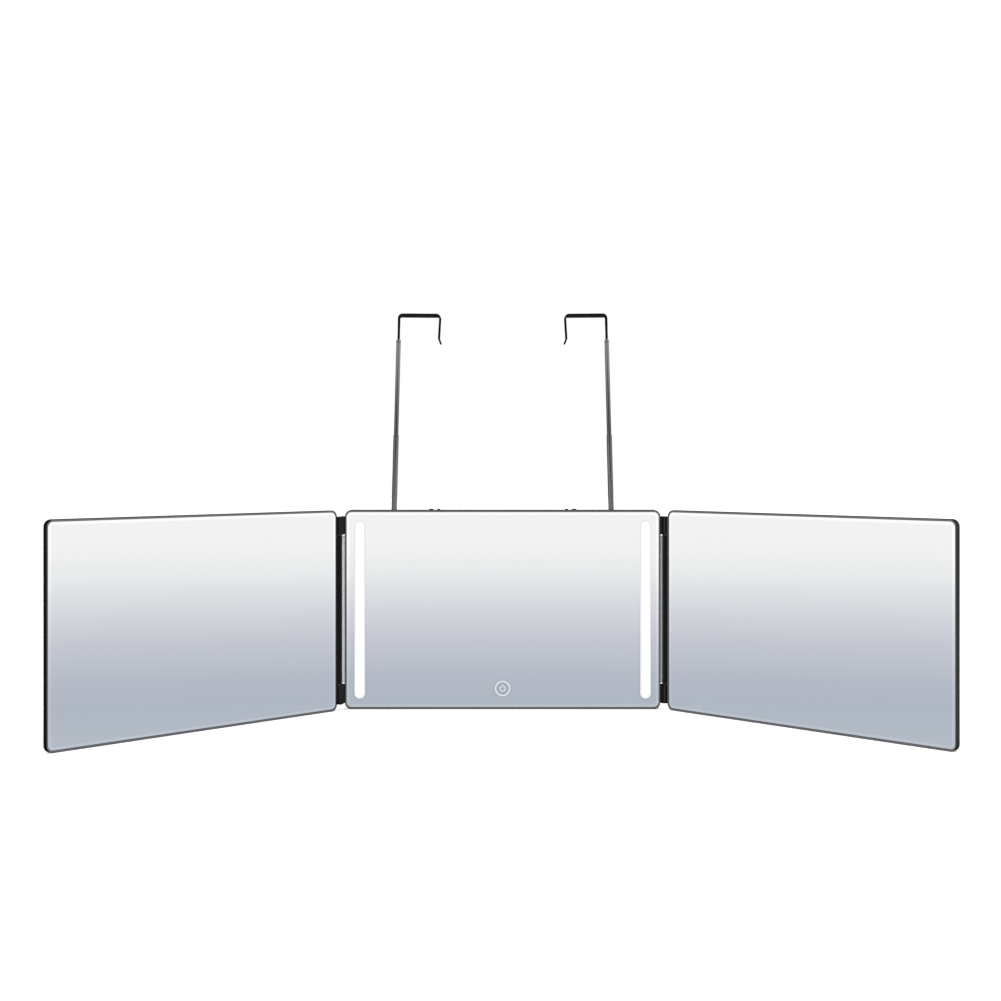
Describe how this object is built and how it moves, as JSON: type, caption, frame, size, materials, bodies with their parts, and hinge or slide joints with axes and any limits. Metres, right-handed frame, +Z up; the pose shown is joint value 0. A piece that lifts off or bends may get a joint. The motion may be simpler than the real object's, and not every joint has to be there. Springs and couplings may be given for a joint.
{
  "type": "trifold vanity mirror",
  "caption": "Trifold vanity mirror: a framed middle mirror with light windows and a touch key, hinged mirror wings, and telescopic rods with swivelling hooks that hang it on a door.",
  "frame": {"origin": "the middle of the centre panel's underside, in the panel's middle plane; the wings stand on the same plane", "axes": "+X to the viewer's right, +Y away from the viewer, +Z up"},
  "size_m": [0.72, 0.2383, 0.365],
  "materials": {
    "frame_black": "satin",
    "cover_black": "fine grain",
    "mirror_glass": "polished",
    "adhesive_foam": "matte",
    "light_window": "frosted",
    "white_board": "satin",
    "key_light": "frosted",
    "circuit_board": "satin",
    "port_steel": "satin",
    "battery_wrap": "satin",
    "wire_cover": "satin",
    "screw_steel": "satin",
    "nylon": "satin",
    "black_nylon": "satin",
    "pale_strip": "satin",
    "dark_chrome": "polished",
    "hook_paint": "satin",
    "soft_pad": "matte",
    "ferrule_chrome": "polished",
    "dark_steel": "satin"
  },
  "bodies": {
    "centre_panel": {"centre_frame": "frame_black", "centre_glass": "mirror_glass", "centre_glass_pads": "adhesive_foam", "left_light_window": "light_window", "right_light_window": "light_window", "left_led_board": "white_board", "right_led_board": "white_board", "touch_icon": "key_light", "touch_sensor": "circuit_board", "control_board": "circuit_board", "usb_port": "port_steel", "battery": "battery_wrap", "inner_wiring": "wire_cover", "back_cover": "cover_black", "cover_screws": "screw_steel", "left_upper_guide": "cover_black", "right_upper_guide": "cover_black", "left_lower_guide": "cover_black", "right_lower_guide": "cover_black", "left_hook_clip": "cover_black", "right_hook_clip": "cover_black", "bracket_screws": "screw_steel", "left_hinge_pin": "screw_steel", "right_hinge_pin": "screw_steel", "left_hinge_washers": "black_nylon", "right_hinge_washers": "black_nylon", "left_side_strip": "pale_strip", "right_side_strip": "pale_strip"},
    "left_wing": {"left_wing_frame": "frame_black", "left_wing_glass": "mirror_glass", "left_wing_pads": "adhesive_foam", "left_wing_back": "cover_black", "left_wing_screws": "screw_steel"},
    "right_wing": {"right_wing_frame": "frame_black", "right_wing_glass": "mirror_glass", "right_wing_pads": "adhesive_foam", "right_wing_back": "cover_black", "right_wing_screws": "screw_steel"},
    "left_lower_rod": {"left_lower_tube": "dark_chrome", "left_tube_stop": "cover_black"},
    "left_upper_rod": {"left_upper_tube": "dark_chrome", "left_tube_plug": "nylon"},
    "left_door_hook": {"left_hook": "hook_paint", "left_hook_pad": "soft_pad", "left_ferrule": "ferrule_chrome", "left_hook_rivet": "dark_steel"},
    "right_lower_rod": {"right_lower_tube": "dark_chrome", "right_tube_stop": "cover_black"},
    "right_upper_rod": {"right_upper_tube": "dark_chrome", "right_tube_plug": "nylon"},
    "right_door_hook": {"right_hook": "hook_paint", "right_hook_pad": "soft_pad", "right_ferrule": "ferrule_chrome", "right_hook_rivet": "dark_steel"}
  },
  "joints": [
    {"name": "left_wing_hinge", "type": "hinge", "parent": "centre_panel", "child": "left_wing", "pos_m": [-0.1484, -0.0144, 0.0916], "axis": [0, 0, 1], "range_deg": [-45, 135]},
    {"name": "right_wing_hinge", "type": "hinge", "parent": "centre_panel", "child": "right_wing", "pos_m": [0.1484, -0.0071, 0.0916], "axis": [0, 0, -1], "range_deg": [-45, 135]},
    {"name": "left_lower_slide", "type": "slide", "parent": "centre_panel", "child": "left_lower_rod", "axis": [0.0262, 0, 0.9997], "range_m": [-0.0764, 0]},
    {"name": "left_upper_slide", "type": "slide", "parent": "left_lower_rod", "child": "left_upper_rod", "axis": [0.0262, 0, 0.9997], "range_m": [-0.0857, 0]},
    {"name": "left_hook_swivel", "type": "hinge", "parent": "left_upper_rod", "child": "left_door_hook", "pos_m": [-0.101, 0.0126, 0.1832], "axis": [0.0262, 0, 0.9997], "continuous": true},
    {"name": "right_lower_slide", "type": "slide", "parent": "centre_panel", "child": "right_lower_rod", "axis": [-0.0262, 0, 0.9997], "range_m": [-0.0764, 0]},
    {"name": "right_upper_slide", "type": "slide", "parent": "right_lower_rod", "child": "right_upper_rod", "axis": [-0.0262, 0, 0.9997], "range_m": [-0.0857, 0]},
    {"name": "right_hook_swivel", "type": "hinge", "parent": "right_upper_rod", "child": "right_door_hook", "pos_m": [0.101, 0.0126, 0.1832], "axis": [-0.0262, 0, 0.9997], "continuous": true}
  ]
}
